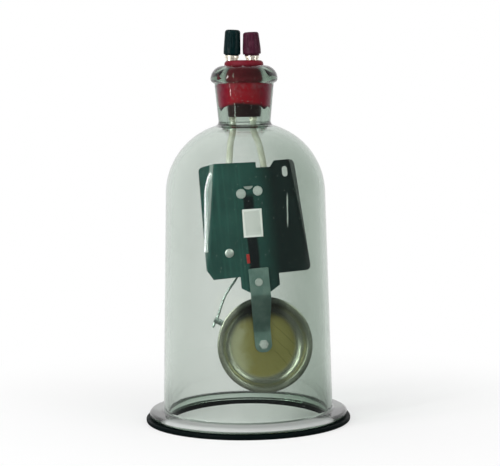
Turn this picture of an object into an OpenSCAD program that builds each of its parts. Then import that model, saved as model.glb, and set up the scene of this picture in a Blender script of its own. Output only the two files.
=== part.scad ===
// Bell in vacuum apparatus: an electric trembler bell hung by its leads in a glass bell jar.
// Millimetres, +Z up, origin in the middle of the face that the gasket rests on, front towards -Y.

/* [Jar] */
// Outer radius of the jar just above its flange
jar_foot_r = 57.5; // [55:0.5:62]
// Outer radius of the jar where the shoulder starts
jar_top_r = 54; // [53:0.5:56]
// Height at which the shoulder starts
shoulder_z = 155; // [150:1:165]
// Radius of the shoulder's arc
shoulder_r = 48; // [46:0.5:50]
// Thickness of the jar's wall
jar_wall = 3.5; // [2.5:0.1:4]
// Outer radius of the flange
flange_r = 67.5; // [65:0.5:72]
// Thickness of the flange
flange_t = 4.5; // [3.5:0.1:6]
// Fillet between the flange and the wall
flange_fillet = 5; // [3:0.5:7]
// Outer radius at the bottom of the neck
neck_r = 17.6; // [17:0.1:19]
// Outer radius of the neck under its collar
neck_top_r = 20; // [19:0.1:21]
// Height of the rim above the bottom face
rim_z = 241.2; // [238:0.2:246]
// Radius of the collar's round
rim_round = 9; // [8.4:0.2:10]
// Radius of the neck's straight bore
bore_r = 11; // [10.9:0.1:11.6]

/* [Gasket] */
// Outer radius of the gasket
gasket_r = 69.7; // [68:0.1:74]
// Width of the gasket's ring
gasket_w = 13.7; // [11:0.1:16]
// Thickness of the gasket
gasket_t = 3.2; // [2:0.1:5]

/* [Stopper] */
// Height of the stopper
stopper_h = 37.5; // [36:0.5:38.5]
// Height of the stopper's top above the rim
stopper_out = 3.3; // [2:0.1:6]
// Half-angle of the stopper's taper, in degrees
stopper_taper = 3.5; // [2.5:0.1:4]
// Gap between the stopper and its seat
seat_gap = 0.1; // [0.05:0.05:0.2]

/* [Binding posts] */
// Distance of the black post from the jar's axis
black_x = 8.1; // [7.8:0.1:8.3]
// Distance of the red post from the jar's axis
red_x = 5.7; // [5.6:0.1:8]
// Lean of the posts towards each other, in degrees
post_lean = 2.5; // [1.5:0.5:3]
// Diameter of a post's upper part
post_d = 6; // [5.6:0.1:6.4]
// Bore for a plug
socket_d = 4.05; // [4:0.01:4.1]
// Depth of the plug's bore
socket_depth = 13; // [10:0.5:14]
// Diameter of a stud's stem
stem_d = 3; // [2.6:0.1:3.2]
// Height of the black post's collar
black_collar_h = 1.7; // [1.5:0.1:2.5]
// Height of the red post's collar
red_collar_h = 1.4; // [1.2:0.1:2.2]
// Height of the clamp washers
clamp_h = 1.6; // [1.4:0.1:2.4]
// Height of the black cap
black_cap_h = 17.3; // [16.5:0.1:18]
// Height of the red cap
red_cap_h = 15.9; // [15:0.1:17]
// Diameter of the black cap
black_cap_d = 11.4; // [11:0.1:11.8]
// Diameter of the black cap at its top
black_cap_top_d = 10.4; // [10:0.1:10.8]
// Diameter of the red cap at its foot
red_cap_d = 12.2; // [11.8:0.1:12.4]
// Diameter of the red cap at its top
red_cap_top_d = 10.6; // [10:0.1:11]
// Number of flutes on a cap
flutes = 16; // [12:1:20]

/* [Bell frame] */
// Height of the frame's plate
plate_h = 76.8; // [74:0.2:80]
// Width of the plate at its top
plate_top_w = 51; // [49:0.5:53]
// Width of the plate at its foot
plate_foot_w = 71.2; // [69:0.2:72]
// Thickness of the frame's sheet
sheet_t = 1; // [0.8:0.1:1.2]
// Outer radius of the sheet's bends
bend_r = 3; // [2:0.2:4]
// Turn of a side flange out of the plate, in degrees
flange_turn = 62; // [58:1:66]
// Width across the free edges of the side flanges
frame_w = 66.1; // [65:0.1:68]
// Width of the tongue
tongue_w = 26.2; // [24:0.2:28]
// Length of the tongue
tongue_l = 11.5; // [11:0.1:13]

/* [Gong] */
// Diameter of the gong over its lip
gong_d = 65; // [62:0.5:67]
// Diameter of the gong's flat bottom
gong_floor_d = 47; // [44:0.5:48]
// Depth of the gong
gong_depth = 10.6; // [9:0.1:12]
// Thickness of the gong's wall
gong_t = 1.2; // [1:0.1:1.6]
// Distance of the gong's middle below the middle of the plate
gong_drop = 85.7; // [85:0.1:88]
// Width of the strip that carries the gong
strip_w = 13.6; // [12:0.2:16]
// Thickness of the strip
strip_t = 1.2; // [1:0.1:1.5]

/* [Trembler] */
// Distance of the magnet's axis behind the plate's face
magnet_y = 11; // [10.8:0.1:12]
// Diameter of the magnet's core
core_d = 8; // [7:0.1:8.4]
// Diameter of the winding
coil_d = 14.4; // [13:0.1:14.8]
// Thickness of the yoke
yoke_t = 2.2; // [1.8:0.1:2.4]
// Gap between the core and the armature at rest
pole_gap = 0.6; // [0.5:0.05:0.9]
// Thickness of the armature
armature_t = 2.4; // [2:0.1:2.6]
// Height of the armature
armature_h = 22; // [20:0.5:24]
// Width of the armature
armature_w = 8; // [7:0.2:9]
// Thickness of the bracket sheet
bracket_t = 1.5; // [1.2:0.1:1.6]
// Diameter of the contact screw
contact_d = 3; // [2.6:0.1:3.2]
// Diameter of the hammer's wire
hammer_wire_d = 1.4; // [1.2:0.1:1.6]
// Diameter of the hammer head
hammer_d = 4; // [3.4:0.1:4.4]
// Length of the hammer head
hammer_l = 6.4; // [6:0.1:6.8]

/* [Leads] */
// Diameter of a lead over its sleeve
lead_d = 4.4; // [4:0.1:4.6]
// Diameter of the bare wires
wire_d = 0.9; // [0.8:0.05:1]

/* [Hidden] */
$fn = 64;
// Clearance of a piece fixed in its hole
fit = 0.02;
// Clearance of a piece that turns in its hole
run_fit = 0.06;
// Depth by which a cut runs past a face
over = 1;

// Heights of the stopper
stopper_top = rim_z + stopper_out;
stopper_foot = stopper_top - stopper_h;

// Place and turn of the bell: the middle of its plate's front face, below the stopper's foot
bell_drop = 68.8;
bell_place = [4.9, -6, stopper_foot - bell_drop];
bell_turn = [-5, -4.3, 9];

// Points on an arc round (cx, cy), from one angle to another
function arc(cx, cy, r, from, to, n = 8) =
  [for (i = [0:n]) let (a = from + (to - from) * i / n) [cx + r * cos(a), cy + r * sin(a)]];

// Outline of a plate from its corners, each [x, y, radius], walked clockwise
function unit(v) = v / norm(v);
function corner(p, q, s) =
  let (
    at = [q[0], q[1]],
    into = unit(at - [p[0], p[1]]),
    out = unit([s[0], s[1]] - at),
    half = acos(max(-1, min(1, into * out))) / 2,
    back = q[2] * tan(half),
    first = at - into * back,
    last = at + out * back
  )
  q[2] == 0 ? [at] : [for (t = [0:0.2:1])
    (1 - t) * ((1 - t) * first + t * at) + t * ((1 - t) * at + t * last)];
function outline(c) = [for (i = [0:len(c) - 1])
  each corner(c[(i + len(c) - 1) % len(c)], c[i], c[(i + 1) % len(c)])];

// A smooth route through hand-chosen points
function blend_point(p, i, t) =
  let (
    a = p[max(i - 1, 0)],
    b = p[i],
    c = p[i + 1],
    d = p[min(i + 2, len(p) - 1)]
  )
  0.5 * (2 * b + (c - a) * t + (2 * a - 5 * b + 4 * c - d) * t * t + (3 * b - a - 3 * c + d) * t * t * t);
function route(p, steps) = concat(
  [for (i = [0:len(p) - 2]) for (k = [0:steps - 1]) blend_point(p, i, k / steps)],
  [p[len(p) - 1]]
);
function heading(p, i) = unit(p[min(i + 1, len(p) - 1)] - p[max(i - 1, 0)]);

// One closed tube swept along a route
module tube(points, d, steps, sides = 8, side_of = [0, 1, 0]) {
  path = route(points, steps);
  rings = len(path);
  skin = [for (i = [0:rings - 1])
    let (
      ahead = heading(path, i),
      across = unit(cross(side_of, ahead)),
      up = cross(ahead, across)
    )
    for (k = [0:sides - 1]) path[i] + d / 2 * (cos(360 * k / sides) * across + sin(360 * k / sides) * up)];
  walls = [for (i = [0:rings - 2]) for (k = [0:sides - 1])
    let (a = i * sides + k, b = i * sides + (k + 1) % sides)
    each [[a, a + sides, b], [b, a + sides, b + sides]]];
  first = [for (k = [0:sides - 1]) k];
  last = [for (k = [0:sides - 1]) rings * sides - 1 - k];
  polyhedron(points = skin, faces = concat(walls, [first, last]), convexity = 4);
}

// A flat sheet whose front lies at y, drawn in front view
module sheet(y, t) translate([0, y + t, 0]) rotate([90, 0, 0]) linear_extrude(t) children();
// A strip of a width, drawn as its side view
module strip(w) translate([-w / 2, 0, 0]) rotate([90, 0, 90]) linear_extrude(w) children();
// A round piece whose axis runs from the front to the back
module back_to(x, y, z) translate([x, y, z]) rotate([-90, 0, 0]) children();
// A round piece whose axis runs to the right
module right_to(x, y, z) translate([x, y, z]) rotate([0, 90, 0]) children();
module in_bell() translate(bell_place) rotate(bell_turn) children();

// A rivet along +Z: its head below zero, its shank through the grip, its tail closed behind
module rivet(head_d, head_h, shank_d, grip) {
  tail_h = 0.8;
  translate([0, 0, -head_h]) cylinder(d1 = head_d - head_h, d2 = head_d, h = head_h);
  cylinder(d = shank_d, h = grip);
  translate([0, 0, grip]) cylinder(d1 = shank_d * 1.7, d2 = shank_d * 1.3, h = tail_h);
}
module hex_nut(across, h, hole_d) difference() {
  cylinder(d = across / cos(30), h = h, $fn = 6);
  translate([0, 0, -over]) cylinder(d = hole_d, h = h + 2 * over);
}

// Jar
neck_fillet = 3;
shoulder_x = jar_top_r - shoulder_r;
flange_edge = flange_t / 2;
flange_top = gasket_t + flange_t;
fillet_x = neck_r + neck_fillet;
fillet_z = shoulder_z + sqrt(pow(shoulder_r + neck_fillet, 2) - pow(fillet_x - shoulder_x, 2));
fillet_a = atan2(fillet_z - shoulder_z, fillet_x - shoulder_x);
inner_r = shoulder_r - jar_wall;
mouth_x = bore_r + neck_fillet;
mouth_z = shoulder_z + sqrt(pow(inner_r + neck_fillet, 2) - pow(mouth_x - shoulder_x, 2));
mouth_a = atan2(mouth_z - shoulder_z, mouth_x - shoulder_x);
seat_low = stopper_foot - over;
seat_r = bore_r + 0.1;
function seat_at(z) = seat_r + (z - seat_low) * tan(stopper_taper);
rim_x = seat_at(rim_z) + 0.4;
rim_mid = rim_z - rim_round;
// Radius of the lip's underside
lip_under = 2.8;
lip_x = rim_x + rim_round - lip_under;

module bell_jar() {
  outer = concat(
    arc(flange_r - flange_edge, gasket_t + flange_edge, flange_edge, -90, 90, 8),
    arc(jar_foot_r + flange_fillet, flange_top + flange_fillet, flange_fillet, 270, 180, 6),
    arc(shoulder_x, shoulder_z, shoulder_r, 0, fillet_a, 16),
    arc(fillet_x, fillet_z, neck_fillet, fillet_a + 180, 180, 5),
    [[neck_top_r, rim_mid - lip_under - 0.3]],
    arc(lip_x, rim_mid, lip_under, -75, -10, 5),
    arc(rim_x, rim_mid, rim_round, 0, 90, 9)
  );
  inner = concat(
    [[seat_at(rim_z - 0.4), rim_z - 0.4], [seat_r, seat_low], [bore_r, seat_low - 1.5]],
    arc(mouth_x, mouth_z, neck_fillet, 180, 180 + mouth_a, 5),
    arc(shoulder_x, shoulder_z, inner_r, mouth_a, 0, 16),
    [[jar_foot_r - jar_wall, flange_top + flange_fillet], [jar_foot_r - jar_wall + 1, gasket_t]]
  );
  color([0.82, 0.9, 0.86, 0.4]) rotate_extrude() polygon(concat(outer, inner));
}

gasket_in_r = gasket_r - gasket_w;
module sealing_gasket() color([0.08, 0.1, 0.1]) rotate_extrude() polygon(concat(
  [[gasket_in_r, 0]],
  arc(gasket_r - gasket_t / 3, gasket_t / 3, gasket_t / 3, -90, 0, 4),
  arc(gasket_r - gasket_t / 3, gasket_t * 2 / 3, gasket_t / 3, 0, 90, 4),
  [[gasket_in_r, gasket_t]]
));

// Stopper and binding posts
post_xs = [-black_x, red_x];
washer_h = 0.8;
lower_nut_h = 2;
lower_nut_w = 5;
lower_washer_d = 5;
stem_end = stopper_foot - washer_h - lower_nut_h - 0.4;
tail_d = 1.6;
tail_l = 4;
collar_d = 8.4;
clamp_d = 9.4;
// Height of a cap above its stud's top
cap_over = 2.6;

module rubber_stopper() {
  top_round = 2.4;
  top_r = seat_at(stopper_top - top_round) - seat_gap;
  color([0.55, 0.1, 0.14]) difference() {
    rotate_extrude() polygon(concat(
      [[0, stopper_foot], [seat_at(stopper_foot) - seat_gap, stopper_foot]],
      arc(top_r - top_round, stopper_top - top_round, top_round, 0, 90, 5),
      [[0, stopper_top]]
    ));
    for (x = post_xs) translate([x, 0, stopper_foot - over])
      cylinder(d = stem_d + 2 * fit, h = stopper_h + 2 * over);
  }
}

// A post stands on the stopper's top and leans towards the other one
module on_post(side) {
  x = side < 0 ? -black_x : red_x;
  translate([x, 0, stopper_top]) rotate([0, -side * post_lean, 0]) children();
}
// The stem stands upright in the rubber and bends where the post's thicker part begins
post_rise = post_d / 2 * tan(post_lean) + 0.05;
module post_stud(side, collar_h, cap_h) {
  top_z = collar_h + clamp_h + cap_h - cap_over;
  x = side < 0 ? -black_x : red_x;
  color([0.8, 0.78, 0.7]) union() {
    on_post(side) difference() {
      translate([0, 0, post_rise]) cylinder(d = post_d, h = top_z - post_rise);
      translate([0, 0, top_z - socket_depth]) cylinder(d = socket_d, h = socket_depth + over);
    }
    translate([x, 0, stem_end]) cylinder(d = stem_d, h = stopper_top + over - stem_end);
    translate([x, 0, stem_end - tail_l]) cylinder(d = tail_d, h = tail_l + over);
  }
}
module black_post_stud() post_stud(-1, black_collar_h, black_cap_h);
module red_post_stud() post_stud(1, red_collar_h, red_cap_h);

// The collar screws onto the stud and lies flat on the stopper, so its underside is cut level
module post_collar(side, h) {
  x = side < 0 ? -black_x : red_x;
  color([0.92, 0.9, 0.82]) difference() {
    on_post(side) translate([0, 0, -over]) cylinder(d = collar_d, h = h + over);
    translate([x, 0, stopper_top - 5]) cylinder(d = 3 * collar_d, h = 5);
    on_post(side) translate([0, 0, -2 * over]) cylinder(d = post_d + 2 * fit, h = h + 3 * over);
  }
}
module black_post_collar() post_collar(-1, black_collar_h);
module red_post_collar() post_collar(1, red_collar_h);

module lower_washers() color([0.75, 0.74, 0.68]) for (x = post_xs)
  translate([x, 0, stopper_foot - washer_h]) difference() {
    cylinder(d = lower_washer_d, h = washer_h);
    translate([0, 0, -over]) cylinder(d = stem_d + 2 * fit, h = washer_h + 2 * over);
  }
module lower_nuts() color([0.75, 0.74, 0.68]) for (x = post_xs)
  translate([x, 0, stopper_foot - washer_h - lower_nut_h])
    rotate(30) hex_nut(lower_nut_w, lower_nut_h, stem_d + 2 * fit);

module clamp_washer(side, collar_h) color([0.92, 0.9, 0.82]) on_post(side) translate([0, 0, collar_h])
  difference() {
    cylinder(d = clamp_d, h = clamp_h);
    translate([0, 0, -over]) cylinder(d = post_d + 2 * run_fit, h = clamp_h + 2 * over);
  }
module black_clamp_washer() clamp_washer(-1, black_collar_h);
module red_clamp_washer() clamp_washer(1, red_collar_h);

// The hole through a cap: wide over the stud, narrow where only the plug passes
module cap_hole(cap_h) {
  translate([0, 0, -over]) cylinder(d = post_d + 2 * run_fit, h = cap_h - cap_over + 0.6 + over);
  cylinder(d = socket_d + 0.8, h = cap_h + over);
}
module cap_flutes(foot_d, top_d, low, high) for (i = [0:flutes - 1]) rotate(i * 360 / flutes)
  translate([foot_d / 2 + 0.25, 0, low]) rotate([0, atan2((top_d - foot_d) / 2, high - low), 0])
    cylinder(d = 1.1, h = high - low, $fn = 16);
module black_cap() {
  crown = 1.8;
  neck_h = 0.8;
  band_h = 4.8;
  color([0.05, 0.14, 0.14]) on_post(-1) translate([0, 0, black_collar_h + clamp_h]) difference() {
    rotate_extrude() polygon(concat(
      [[0, 0], [clamp_d / 2, 0], [clamp_d / 2, neck_h], [black_cap_d / 2 - 0.3, neck_h]],
      [[black_cap_d / 2, neck_h + 0.5], [black_cap_d / 2, band_h]],
      arc(black_cap_top_d / 2 - crown, black_cap_h - crown, crown, 5, 90, 5),
      [[0, black_cap_h]]
    ));
    cap_hole(black_cap_h);
    cap_flutes(black_cap_d, black_cap_top_d, band_h, black_cap_h - 2);
  }
}
module red_cap() {
  crown = 1.6;
  neck_h = 1.2;
  band_h = 5.2;
  color([0.36, 0.1, 0.17]) on_post(1) translate([0, 0, red_collar_h + clamp_h]) difference() {
    rotate_extrude() polygon(concat(
      [[0, 0], [clamp_d / 2 + 0.2, 0], [clamp_d / 2 + 0.2, neck_h], [red_cap_d / 2 - 0.3, neck_h]],
      [[red_cap_d / 2, neck_h + 0.5], [red_cap_d / 2, band_h]],
      arc(red_cap_top_d / 2 - crown, red_cap_h - crown, crown, 5, 90, 5),
      [[0, red_cap_h]]
    ));
    cap_hole(red_cap_h);
    cap_flutes(red_cap_d, red_cap_top_d, band_h, red_cap_h - 2);
  }
}

// Frame of the bell, in its own frame: x to the right, y to the back, z up
// Distance of the middle of the plate's top and foot to the right of the line through the gong
plate_top_x = 2.5;
plate_foot_x = 0.7;
fold_back = bend_r * tan(flange_turn / 2);
// Where the left and right folds meet the top and the foot, measured outwards
fold_top = [plate_top_w / 2 - plate_top_x, plate_top_w / 2 + plate_top_x];
fold_foot = [plate_foot_w / 2 - plate_foot_x, plate_foot_w / 2 + plate_foot_x];
rivet_d = 3.2;
top_rivet_at = [[-6.5, 17.4], [5, 18.4]];
side_rivet_at = [-18.4, -21.6];
clip_rivet_at = [[-18.4, 27], [17, 27]];
yoke_rivet_at = [[1, -5], [1, 3]];
key_at = [-6, -26.6];
strip_rivet_at = [-0.6, -43];
bush_d = 4.6;
notch_x = 5.5;

module frame_outline() polygon(outline([
  [plate_top_x / 2 - frame_w / 2, plate_h / 2 - 0.4, 3], [-fold_top[0], plate_h / 2 + 0.8, 0],
  [notch_x, plate_h / 2 - 0.5, 0], [plate_top_x / 2 + frame_w / 2, plate_h / 2 - 0.6, 4],
  [fold_foot[1], -plate_h / 2 + 0.2, 4], [-fold_foot[0] + 4.3, -plate_h / 2, 0],
  [-fold_foot[0] + 0.4, -plate_h / 2 + 6.6, 0]
]));
module plate_outline() {
  high = plate_h / 2 + over;
  polygon([
    [fold_back - fold_top[0], high], [fold_top[1] - fold_back, high],
    [fold_foot[1] - fold_back, -high], [fold_back - fold_foot[0], -high]
  ]);
}
module tongue_outline() {
  cut = [6.1, 3.8];
  side = tongue_w / 2;
  low = -plate_h / 2 - tongue_l;
  translate([plate_foot_x, 0]) polygon([
    [-side, -plate_h / 2 + over], [side, -plate_h / 2 + over], [side, low + cut[1]], [side - cut[0], low],
    [cut[0] - side, low], [-side, low + cut[1]]
  ]);
}
module slot(w, l) union() {
  square([w, l - w], center = true);
  for (s = [-1, 1]) translate([0, s * (l - w) / 2]) circle(d = w);
}
module plate_holes() {
  for (at = top_rivet_at) translate(at) circle(d = rivet_d + 2 * fit);
  for (at = clip_rivet_at) translate(at) circle(d = clip_rivet_d + 2 * fit);
  for (at = yoke_rivet_at) translate(at) circle(d = rivet_d + 2 * fit);
  translate(side_rivet_at) circle(d = bush_d + 2 * fit);
  translate(strip_rivet_at) circle(d = rivet_d + 2 * fit);
  translate(key_at) square([key_size[0] + 2 * fit, key_size[1] + 2 * fit], center = true);
  translate([24.8, 29.8]) slot(3.8, 7.1);
  translate([-1.1, 23.5]) intersection() {
    circle(d = 7.2);
    translate([-4, -4]) square([8, 2.6]);
  }
  polygon([
    [notch_x, plate_h / 2 + over], [notch_x, plate_h / 2 - 4.2], [notch_x + 9.4, plate_h / 2 - 4.7],
    [notch_x + 13.9, plate_h / 2 + over]
  ]);
}
// A bend and the flange behind it, along the plate's slanting side; the frame's outline trims it
module side_fold(top_x, foot_x) {
  deep = 30;
  spare = 12;
  way = [cos(flange_turn), sin(flange_turn)];
  across = [-way[1], way[0]];
  outside = arc(0, bend_r, bend_r, -90, flange_turn - 90, 6);
  inside = arc(0, bend_r, bend_r - sheet_t, flange_turn - 90, -90, 6);
  far = outside[6] + deep * way;
  translate([(top_x + foot_x) / 2 - fold_back, 0, 0]) rotate([0, -atan2(foot_x - top_x, plate_h), 0])
    linear_extrude(plate_h + spare, center = true)
      polygon(concat([[-over, 0]], outside, [far, far + sheet_t * across], inside, [[-over, sheet_t]]));
}
module housing() color([0.12, 0.25, 0.21]) in_bell() difference() {
  union() {
    intersection() {
      union() {
        sheet(0, sheet_t) plate_outline();
        side_fold(fold_top[1], fold_foot[1]);
        mirror([1, 0, 0]) side_fold(fold_top[0], fold_foot[0]);
      }
      sheet(-over, 40) frame_outline();
    }
    sheet(0, sheet_t) tongue_outline();
  }
  sheet(-over, sheet_t + 2 * over) plate_holes();
}

module top_rivets() color([0.75, 0.8, 0.76]) in_bell() for (at = top_rivet_at)
  back_to(at[0], 0, at[1]) rivet(6.6, 0.7, rivet_d, sheet_t + bracket_t);
label_t = 0.3;
module label_plate() color([0.78, 0.82, 0.78]) in_bell() sheet(-label_t, label_t)
  translate([-0.6, -2.9]) rotate(-2) square([13.2, 19], center = true);

// Clips that hold the leads behind the plate
clip_t = 0.8;
clip_w = 6;
clip_rivet_d = 2;
lead_back = sheet_t + 0.1 + lead_d / 2;
clip_in = lead_d / 2 + 0.1;
lead_foot_x = [-12.6, 11.2];
module lead_clip(side) translate([lead_foot_x[side], 0, clip_rivet_at[side][1] - clip_w / 2])
  mirror([1 - side, 0, 0]) linear_extrude(clip_w) difference() {
    union() {
      translate([0, lead_back]) circle(r = clip_in + clip_t);
      translate([0, sheet_t]) square([8.2, clip_t]);
      translate([-clip_in - clip_t, sheet_t]) square([clip_in + clip_t, lead_back - sheet_t]);
    }
    translate([0, lead_back]) circle(r = clip_in);
    translate([-clip_in, -over]) square([2 * clip_in, lead_back + over]);
    translate([-9, sheet_t - 9]) square([18, 9]);
  }
module lead_clips() color([0.7, 0.7, 0.66]) in_bell() difference() {
  for (side = [0, 1]) lead_clip(side);
  for (at = clip_rivet_at) back_to(at[0], -over, at[1]) cylinder(d = clip_rivet_d + 2 * fit, h = 6);
}
module clip_rivets() color([0.75, 0.8, 0.76]) in_bell() for (at = clip_rivet_at)
  back_to(at[0], 0, at[1]) rivet(clip_rivet_d + 0.6, 0.3, clip_rivet_d, sheet_t + clip_t);

// Magnet: a core through a bobbin, riveted into an angled yoke
pole_x = 3;
yoke_x = 28.4;
yoke_w = 15;
foot_x = -3;
flange_w = 1.2;
bobbin_x = pole_x + 1.2;
bobbin_l = yoke_x - yoke_t - bobbin_x - 0.2;
bobbin_d = 2 * (magnet_y - sheet_t - yoke_t - 0.15);
tube_r = core_d / 2 + 0.9;
yoke_back = magnet_y + 7.5;

module magnet_yoke() color([0.42, 0.43, 0.42]) in_bell() difference() {
  union() {
    translate([foot_x, sheet_t, -yoke_w / 2]) cube([yoke_x - foot_x, yoke_t, yoke_w]);
    translate([yoke_x - yoke_t, sheet_t, -yoke_w / 2]) cube([yoke_t, yoke_back - sheet_t, yoke_w]);
  }
  right_to(yoke_x - yoke_t - over, magnet_y, 0) cylinder(d = core_d + 2 * fit, h = yoke_t + 2 * over);
  for (at = yoke_rivet_at) back_to(at[0], 0, at[1]) cylinder(d = rivet_d + 2 * fit, h = 9);
}
module yoke_rivets() color([0.6, 0.62, 0.6]) in_bell() for (at = yoke_rivet_at)
  back_to(at[0], 0, at[1]) cylinder(d = rivet_d, h = sheet_t + yoke_t);
module magnet_core() color([0.5, 0.5, 0.49]) in_bell() right_to(pole_x, magnet_y, 0)
  cylinder(d = core_d, h = yoke_x - pole_x);
module coil_bobbin() color([0.3, 0.12, 0.08]) in_bell() right_to(bobbin_x, magnet_y, 0) difference() {
  union() {
    cylinder(r = tube_r, h = bobbin_l);
    for (z = [0, bobbin_l - flange_w]) translate([0, 0, z]) cylinder(d = bobbin_d, h = flange_w);
  }
  translate([0, 0, -over]) cylinder(d = core_d + 4 * fit, h = bobbin_l + 2 * over);
}
module coil_winding() color([0.16, 0.3, 0.18]) in_bell()
  right_to(bobbin_x + flange_w + fit, magnet_y, 0) difference() {
    cylinder(d = coil_d, h = bobbin_l - 2 * flange_w - 2 * fit);
    translate([0, 0, -over]) cylinder(r = tube_r + fit, h = bobbin_l + 2 * over);
  }

// Armature on its leaf spring, hung from a bracket behind the two top rivets
armature_x = pole_x - pole_gap;
leaf_x = armature_x - armature_t;
leaf_t = 0.4;
leaf_w = 6.4;
leaf_gap = 0.2;
// Distance of the leaf's end below the top of its clamp
leaf_short = 1.6;
leaf_low = 2;
ear_x = leaf_x - leaf_t - leaf_gap;
ear_low = 14;
ear_top = 24;
hold_low = 16.4;
ear_foot = [-9.6, 13];
ear_foot_w = 18;
clamp_t = 1.2;
clamp_screw_z = 20.2;
clamp_screw_y = [magnet_y - 1.7, magnet_y + 1.7];
small_d = 1.6;

module spring_bracket() color([0.72, 0.76, 0.72]) in_bell() difference() {
  union() {
    translate([ear_foot[0], sheet_t, ear_foot[1]]) cube([ear_foot_w, bracket_t, ear_top - ear_foot[1]]);
    translate([ear_x - bracket_t, sheet_t, ear_low])
      cube([bracket_t, magnet_y + leaf_w / 2 + 0.8 - sheet_t, ear_top - ear_low]);
  }
  for (at = top_rivet_at) back_to(at[0], 0, at[1]) cylinder(d = rivet_d + 2 * fit, h = 6);
  for (y = clamp_screw_y) right_to(ear_x - 5, y, clamp_screw_z) cylinder(d = small_d + 2 * fit, h = 9);
}
clamp_x = leaf_x + leaf_gap;
module spring_clamp() color([0.72, 0.76, 0.72]) in_bell() difference() {
  translate([clamp_x, magnet_y - leaf_w / 2, hold_low]) cube([clamp_t, leaf_w, ear_top - hold_low]);
  for (y = clamp_screw_y) right_to(clamp_x - over, y, clamp_screw_z)
    cylinder(d = small_d + 2 * fit, h = clamp_t + 2 * over);
}
module clamp_screws() color([0.8, 0.8, 0.74]) in_bell() for (y = clamp_screw_y) {
  shank = clamp_x + clamp_t - (ear_x - bracket_t);
  right_to(ear_x - bracket_t, y, clamp_screw_z) cylinder(d = small_d, h = shank + 0.1);
  right_to(clamp_x + clamp_t, y, clamp_screw_z) cylinder(d = 2.9, h = 1);
}
leaf_rivet_z = [4, 8.5];
module armature_spring() color([0.62, 0.6, 0.5]) in_bell() difference() {
  translate([leaf_x - leaf_t, magnet_y - leaf_w / 2, leaf_low])
    cube([leaf_t, leaf_w, ear_top - leaf_short - leaf_low]);
  for (y = clamp_screw_y) right_to(leaf_x - over, y, clamp_screw_z) cylinder(d = small_d + 0.5, h = 3);
  for (z = leaf_rivet_z) right_to(leaf_x - over, magnet_y, z) cylinder(d = small_d + 2 * fit, h = 3);
}
arm_x = leaf_x + armature_t / 2;
arm_hole = 4;
module armature() color([0.45, 0.46, 0.45]) in_bell() difference() {
  translate([leaf_x, magnet_y - armature_w / 2, -armature_h / 2]) cube([armature_t, armature_w, armature_h]);
  for (z = leaf_rivet_z) right_to(leaf_x - over, magnet_y, z) cylinder(d = small_d + 2 * fit, h = 9);
  translate([arm_x, magnet_y, -armature_h / 2 - over])
    cylinder(d = hammer_wire_d + 2 * run_fit, h = arm_hole + over);
  for (y = tip_rivet_y) right_to(leaf_x - over, y, tip_rivet_z) cylinder(d = 1 + 2 * fit, h = 9);
}
module armature_rivets() color([0.7, 0.66, 0.5]) in_bell() {
  for (z = leaf_rivet_z) {
    right_to(leaf_x - leaf_t, magnet_y, z) cylinder(d = small_d, h = leaf_t + armature_t);
    right_to(leaf_x - leaf_t - 0.5, magnet_y, z) cylinder(d1 = 2, d2 = 2.8, h = 0.5);
  }
  for (y = tip_rivet_y) {
    right_to(leaf_x - leaf_t, y, tip_rivet_z) cylinder(d = 1, h = leaf_t + armature_t);
    right_to(leaf_x - leaf_t - 0.4, y, tip_rivet_z) cylinder(d1 = 1.4, d2 = 1.9, h = 0.4);
  }
}

// Contact: a light spring on the armature meets the adjustable screw
tip_rivet_z = -2.2;
tip_rivet_y = [magnet_y - 1.5, magnet_y + 1.5];
contact_z = -8.6;
spring_out = 1.6;
tip_l = 0.8;
touch_gap = 0.05;
tip_x = leaf_x - spring_out - leaf_t - tip_l;
module contact_spring() color([0.7, 0.6, 0.35]) in_bell() difference() {
  translate([leaf_x, 0, 0]) sheet(magnet_y - 2.5, 5) polygon([
    [0, 1], [0, -4.4], [-spring_out, -6.2], [-spring_out, -10.6], [-spring_out - leaf_t, -10.6],
    [-spring_out - leaf_t, -6], [-leaf_t, -4.2], [-leaf_t, 1]
  ]);
  for (y = tip_rivet_y) right_to(leaf_x - over, y, tip_rivet_z) cylinder(d = 1 + 2 * fit, h = 3);
}
module contact_tip() color([0.85, 0.85, 0.82]) in_bell() right_to(tip_x, magnet_y, contact_z)
  cylinder(d = 2.2, h = tip_l);

pad_t = 0.8;
pad_at = [-25.5, -31];
pad_size = [22.5, 17];
key_size = [2, 6.2];
side_shank_d = 2.6;
bush_t = 0.3;
foot_y = sheet_t + pad_t;
post_x = -12.5;
post_foot = [-24, -28];
post_foot_h = 12;
// Distance of the post's edges past the contact screw's axis
post_past = 4;
module contact_insulator() color([0.75, 0.12, 0.1]) in_bell() {
  difference() {
    union() {
      translate([pad_at[0], sheet_t, pad_at[1]]) cube([pad_size[0], pad_t, pad_size[1]]);
      back_to(side_rivet_at[0], 0, side_rivet_at[1]) cylinder(d = bush_d, h = sheet_t + over / 2);
      translate([key_at[0] - key_size[0] / 2, -0.2, key_at[1] - key_size[1] / 2])
        cube([key_size[0], sheet_t + 0.5, key_size[1]]);
    }
    back_to(side_rivet_at[0], -over, side_rivet_at[1]) cylinder(d = side_shank_d + 2 * fit, h = 6);
  }
  back_to(side_rivet_at[0], -bush_t, side_rivet_at[1]) difference() {
    cylinder(d = 5.7, h = bush_t);
    translate([0, 0, -over]) cylinder(d = side_shank_d + 2 * fit, h = 3);
  }
}
module side_rivet() color([0.75, 0.8, 0.76]) in_bell() back_to(side_rivet_at[0], -bush_t, side_rivet_at[1]) {
  dome = 1.1;
  head_r = 2.95;
  grip = bush_t + foot_y + bracket_t;
  shank_r = side_shank_d / 2;
  rotate_extrude() polygon([
    [0, -dome], [head_r - 1.55, -dome + 0.15], [head_r - 0.55, -dome + 0.5], [head_r, -0.2], [head_r, 0],
    [shank_r, 0], [shank_r, grip], [shank_r + 0.9, grip], [shank_r + 0.5, grip + 0.8], [0, grip + 0.8]
  ]);
}
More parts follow.
